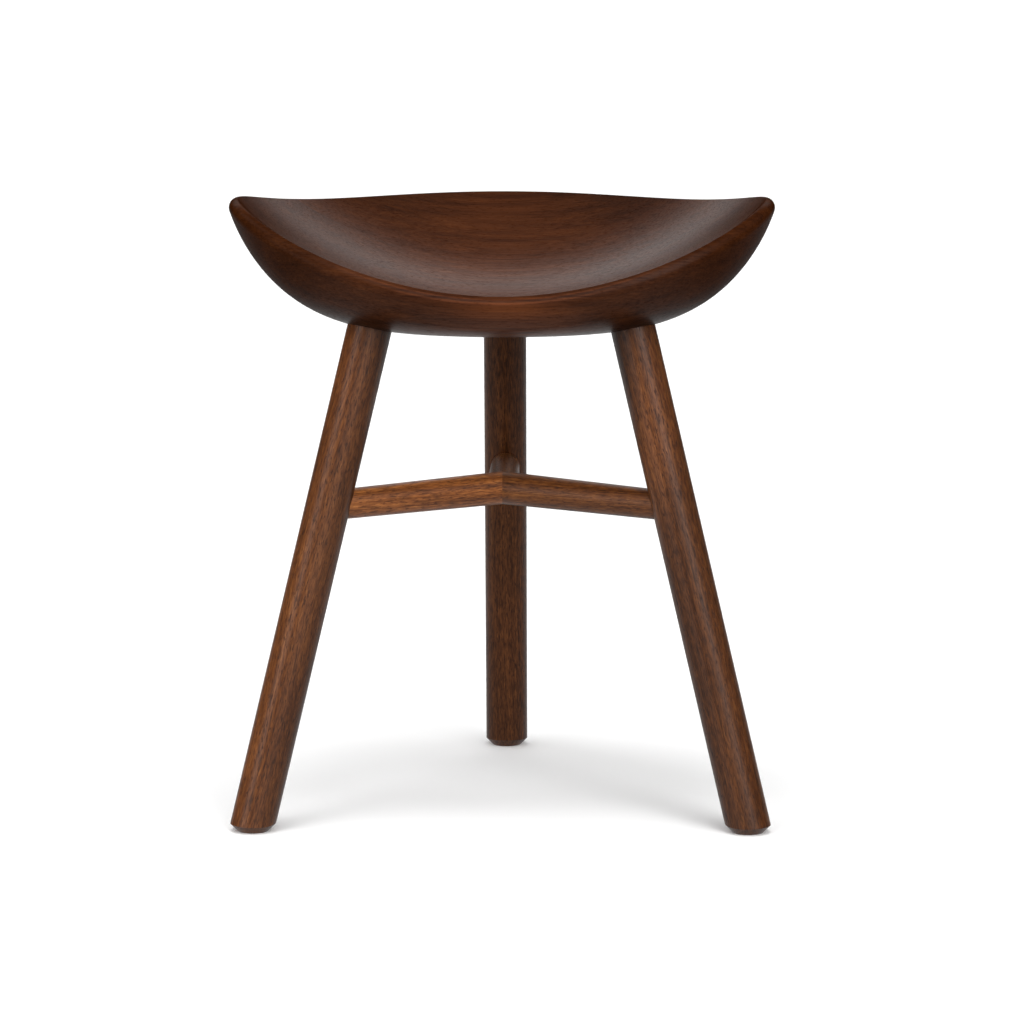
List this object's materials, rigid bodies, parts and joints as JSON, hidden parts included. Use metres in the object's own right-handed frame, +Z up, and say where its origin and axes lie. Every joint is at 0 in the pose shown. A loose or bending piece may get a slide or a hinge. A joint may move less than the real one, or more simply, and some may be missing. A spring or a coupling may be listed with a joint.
{
  "type": "stool",
  "caption": "Low wooden stool with a carved, dished seat on splayed round legs, braced by a mitred Y-shaped stretcher.",
  "frame": {"origin": "on the floor, under the middle of the stool's box", "axes": "+Z up, -Y towards the front of the seat, +Y towards the single rear leg"},
  "size_m": [0.4278, 0.3708, 0.4893],
  "materials": {
    "seat_wood": "satin",
    "leg_wood": "satin",
    "stretcher_wood": "satin",
    "dowel_wood": "matte"
  },
  "bodies": {
    "root": {"seat_stave_1_front": "seat_wood", "seat_stave_2": "seat_wood", "seat_stave_3": "seat_wood", "seat_stave_4": "seat_wood", "seat_stave_5": "seat_wood", "seat_stave_6_back": "seat_wood", "leg_front_left": "leg_wood", "leg_front_right": "leg_wood", "leg_rear": "leg_wood", "stretcher_front_left": "stretcher_wood", "stretcher_front_right": "stretcher_wood", "stretcher_rear": "stretcher_wood", "mitre_dowel_front": "dowel_wood", "mitre_dowel_left": "dowel_wood", "mitre_dowel_right": "dowel_wood"}
  },
  "joints": []
}
